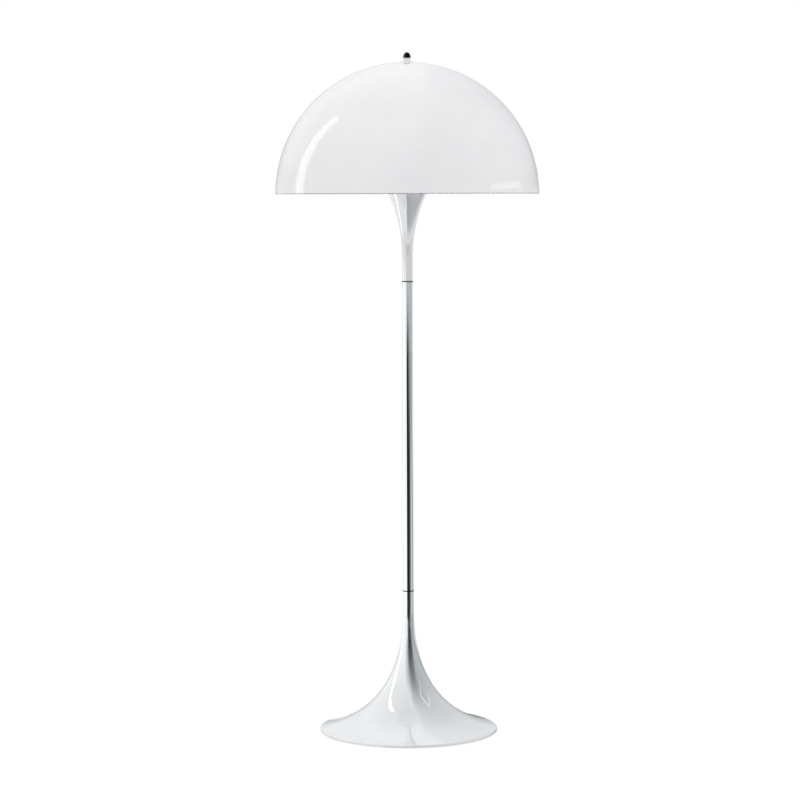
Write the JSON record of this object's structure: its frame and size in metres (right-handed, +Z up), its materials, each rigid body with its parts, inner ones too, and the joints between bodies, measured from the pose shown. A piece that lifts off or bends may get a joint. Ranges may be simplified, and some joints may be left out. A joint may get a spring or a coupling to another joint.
{
  "type": "floor lamp",
  "caption": "Floor lamp with an opal dome shade over a trumpet reflector, on a chrome pole with a white trumpet foot and a rotary dimmer knob on top.",
  "frame": {"origin": "on the floor, under the middle of the pole", "axes": "+Z up along the pole, the pictured front towards -Y, the cord inlet at the back towards +Y, +X to the right in the picture"},
  "size_m": [0.4999, 0.5, 1.297],
  "materials": {
    "white_shell": "high gloss white moulding",
    "opal_acrylic": "opal white gloss acrylic",
    "chrome_tube": "polished chrome",
    "white_trim": "white moulded nylon",
    "black_plastic": "black, gloss",
    "black_moulding": "black, satin",
    "zinc_casting": "zinc die casting",
    "turned_steel": "turned",
    "spring_brass": "pressed",
    "phenolic_board": "brown board with a carbon track",
    "plated_steel": "zinc plated",
    "pressed_steel": "pressed and plated",
    "turned_aluminium": "turned",
    "cast_iron": "rough casting",
    "cover_plastic": "grey fibreboard or moulding",
    "rubber": "black, matt",
    "terminal_plastic": "natural nylon",
    "terminal_brass": "machined",
    "lead_pvc": "white sheath",
    "holder_thermoset": "white thermoset moulding",
    "opal_glass": "opal white, closed",
    "bulb_cap_metal": "nickel plated"
  },
  "bodies": {
    "lamp": {"ballast_disc": "cast_iron", "base_cover": "cover_plastic", "base_trumpet": "white_shell", "bulb_cap_1": "bulb_cap_metal", "bulb_cap_2": "bulb_cap_metal", "bulb_cap_3": "bulb_cap_metal", "bulb_glass_1": "opal_glass", "bulb_glass_2": "opal_glass", "bulb_glass_3": "opal_glass", "carrier_nut": "plated_steel", "cord_grommet": "rubber", "coupler": "plated_steel", "cover_screws": "plated_steel", "dimmer_board": "phenolic_board", "dimmer_cover": "zinc_casting", "dimmer_cup": "black_moulding", "dimmer_screws": "plated_steel", "foot_ring": "rubber", "holder_contacts": "terminal_brass", "holder_leads": "lead_pvc", "holder_nipples": "plated_steel", "holder_nuts": "plated_steel", "holder_sleeves": "terminal_brass", "lamp_carrier": "pressed_steel", "lampholder_1": "holder_thermoset", "lampholder_2": "holder_thermoset", "lampholder_3": "holder_thermoset", "lower_joint_ring": "black_plastic", "lower_nut": "plated_steel", "lower_spigot": "turned_aluminium", "lower_washer": "plated_steel", "pole_tube": "chrome_tube", "reflector_trumpet": "white_shell", "seat_washer": "rubber", "shade": "opal_acrylic", "shade_nut": "white_trim", "spindle": "plated_steel", "supply_lead": "lead_pvc", "terminal_block": "terminal_plastic", "terminal_screws": "terminal_brass", "throat_cone": "turned_aluminium", "throat_nut": "plated_steel", "tie_rod": "plated_steel", "top_washer": "white_trim", "upper_joint_ring": "black_plastic", "upper_spigot": "turned_aluminium"},
    "dimmer_knob": {"dimmer_shaft": "turned_steel", "dimmer_wiper": "spring_brass", "knob": "black_plastic", "knob_screw": "plated_steel"}
  },
  "joints": [
    {"name": "dimmer_turn", "type": "hinge", "parent": "lamp", "child": "dimmer_knob", "pos_m": [0, 0, 1.275], "axis": [0, 0, -1], "range_deg": [0, 290]}
  ]
}
